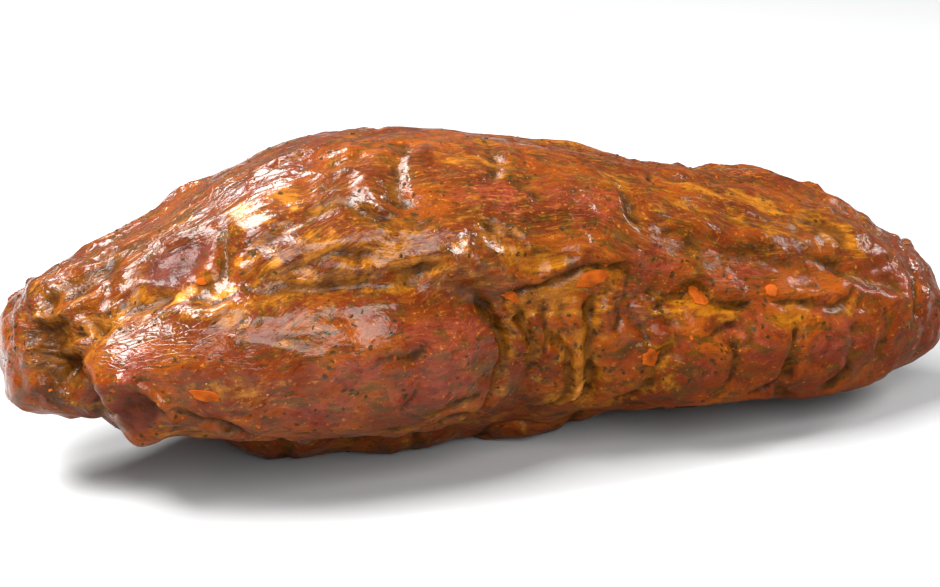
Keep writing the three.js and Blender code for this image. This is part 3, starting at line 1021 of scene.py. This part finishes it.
def laid_flakes(name, skin, material, seed):
    """Thin flakes of dried pepper with ragged rims. They lie on the skin and follow it."""
    draw = random.Random(seed)
    work = bmesh.new()
    corners = 14
    thickness = 0.45  # in millimetres, as all of a flake's sizes are
    # From the rim under the skin to the flake's middle: a ring's share of the outline, and its height.
    rings = ((1.0, -0.5), (0.97, thickness), (0.62, thickness), (0.25, thickness))
    for place, length, girth, turn in FLAKES:
        centre, normal = skin.spot(*place)
        round_it = normal.cross(Vector((1, 0, 0))).normalized()
        ahead = round_it.cross(normal)
        tilt = math.radians(turn)
        long_way = length * (ahead * math.cos(tilt) + round_it * math.sin(tilt))
        short_way = girth * (round_it * math.cos(tilt) - ahead * math.sin(tilt))
        outline = []
        for i in range(corners):
            angle = 2 * math.pi * i / corners
            ragged = draw.uniform(0.76, 1.12)
            outline.append(ragged * (long_way * math.cos(angle) + short_way * math.sin(angle)))
        loops = []
        for share, height in rings:
            feet = [skin.tree.find_nearest(centre + share * corner)[:2] for corner in outline]
            loops.append([work.verts.new((foot + out * height) * MM) for foot, out in feet])
        for outer, inner in zip(loops, loops[1:]):
            for i in range(corners):
                work.faces.new([inner[i], inner[i - 1], outer[i - 1], outer[i]])
        foot, out = skin.tree.find_nearest(centre)[:2]
        middle = work.verts.new((foot + out * thickness) * MM)
        for i in range(corners):
            work.faces.new([loops[-1][i - 1], middle, loops[-1][i]])
        work.faces.new(loops[0])
    bmesh.ops.recalc_face_normals(work, faces=work.faces)
    mesh = bpy.data.meshes.new(name)
    work.to_mesh(mesh)
    work.free()
    mesh.materials.append(material)
    flakes = bpy.data.objects.new(name, mesh)
    bpy.context.scene.collection.objects.link(flakes)
    return flakes


# --- Studio ---------------------------------------------------------------------------------------------

AIM = Vector((-9, 0, 52)) * MM  # what the camera and the lights point at

# Where each softbox stands: its azimuth, elevation and distance. Then its width, height and watts.
SOFTBOXES = {
    "window_left": (-74, 56, 1.1, 0.58, 0.42, 38),
    "window_back": (-152, 52, 1.1, 0.62, 0.32, 20),
    "strip_right": (92, 28, 1.2, 0.14, 0.4, 11),
    "front_fill": (-4, 35, 1.4, 0.9, 0.9, 28),
}


def stand(obj, azimuth, elevation, distance):
    """Stands a camera or light round the ham, pointing at it. Azimuth 0 is in front, and 90 at the right."""
    turn, rise = math.radians(azimuth), math.radians(elevation)
    way = Vector((math.sin(turn) * math.cos(rise), -math.cos(turn) * math.cos(rise), math.sin(rise)))
    obj.location = AIM + way * distance
    obj.rotation_euler = (-way).to_track_quat("-Z", "Y").to_euler()
    bpy.context.scene.collection.objects.link(obj)


def white_card():
    """Matt white card: an even ground that holds a soft shadow."""
    material, tree = empty_material("white_card")
    inputs = {"Base Color": colour("9b9b9b"), "Roughness": 0.8}
    surface = add(tree, "ShaderNodeBsdfPrincipled", inputs).outputs[0]
    add(tree, "ShaderNodeOutputMaterial", {"Surface": surface})
    return material


def studio():
    """The camera, the softboxes, the card that the ham lies on, and a dim sky."""
    camera = bpy.data.cameras.new("camera")
    camera.lens = 100
    camera.sensor_width = 36
    camera_stand = bpy.data.objects.new("camera", camera)
    stand(camera_stand, azimuth=-20, elevation=20, distance=0.936)
    bpy.context.scene.camera = camera_stand

    for name, (azimuth, elevation, distance, width, height, watts) in SOFTBOXES.items():
        light = bpy.data.lights.new(name, "AREA")
        light.shape = "RECTANGLE"
        light.size = width
        light.size_y = height
        light.energy = watts
        stand(bpy.data.objects.new(name, light), azimuth, elevation, distance)

    reach = 6  # from the card's middle to its sides, in metres
    card = bpy.data.meshes.new("floor")
    corners = [(-reach, -reach, 0), (reach, -reach, 0), (reach, reach, 0), (-reach, reach, 0)]
    card.from_pydata(corners, [], [(0, 1, 2, 3)])
    card.materials.append(white_card())
    floor = bpy.data.objects.new("floor", card)
    bpy.context.scene.collection.objects.link(floor)

    sky = bpy.data.worlds.new("studio")
    sky.use_nodes = True
    background = sky.node_tree.nodes["Background"]
    background.inputs["Color"].default_value = colour("f6f8ff")
    background.inputs["Strength"].default_value = 0.25
    bpy.context.scene.world = sky
    bpy.context.scene.view_settings.view_transform = "Standard"


# --- The whole ham --------------------------------------------------------------------------------------

studio()
ham_skin, skin = carved_ham()
ham_skin.data.materials.clear()
ham_skin.data.materials.append(smoked_meat())

herb = dry_crumb("dried_herb", "281a02", "3c2806", 0.7, 0.0)
grain = dry_crumb("mustard_and_salt_grain", "4a2408", "8a5418", 0.4, 0.6)
pepper = dry_crumb("dried_orange_pepper", "763202", "924204", 0.75, 0.0)
pieces = [
    ham_skin,
    strewn("herb_flecks", ham_skin, herb, 26000, (0.9 * MM, 2.4 * MM), 0.2, 11),
    strewn("spice_grains", ham_skin, grain, 7000, (0.5 * MM, 1.1 * MM), 0.6, 23),
    strewn("pepper_crumbs", ham_skin, pepper, 1500, (1.0 * MM, 3.0 * MM), 0.15, 37),
    laid_flakes("pepper_flakes", skin, pepper, 5),
]
for piece in pieces:
    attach(piece, "root")
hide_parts("ham")
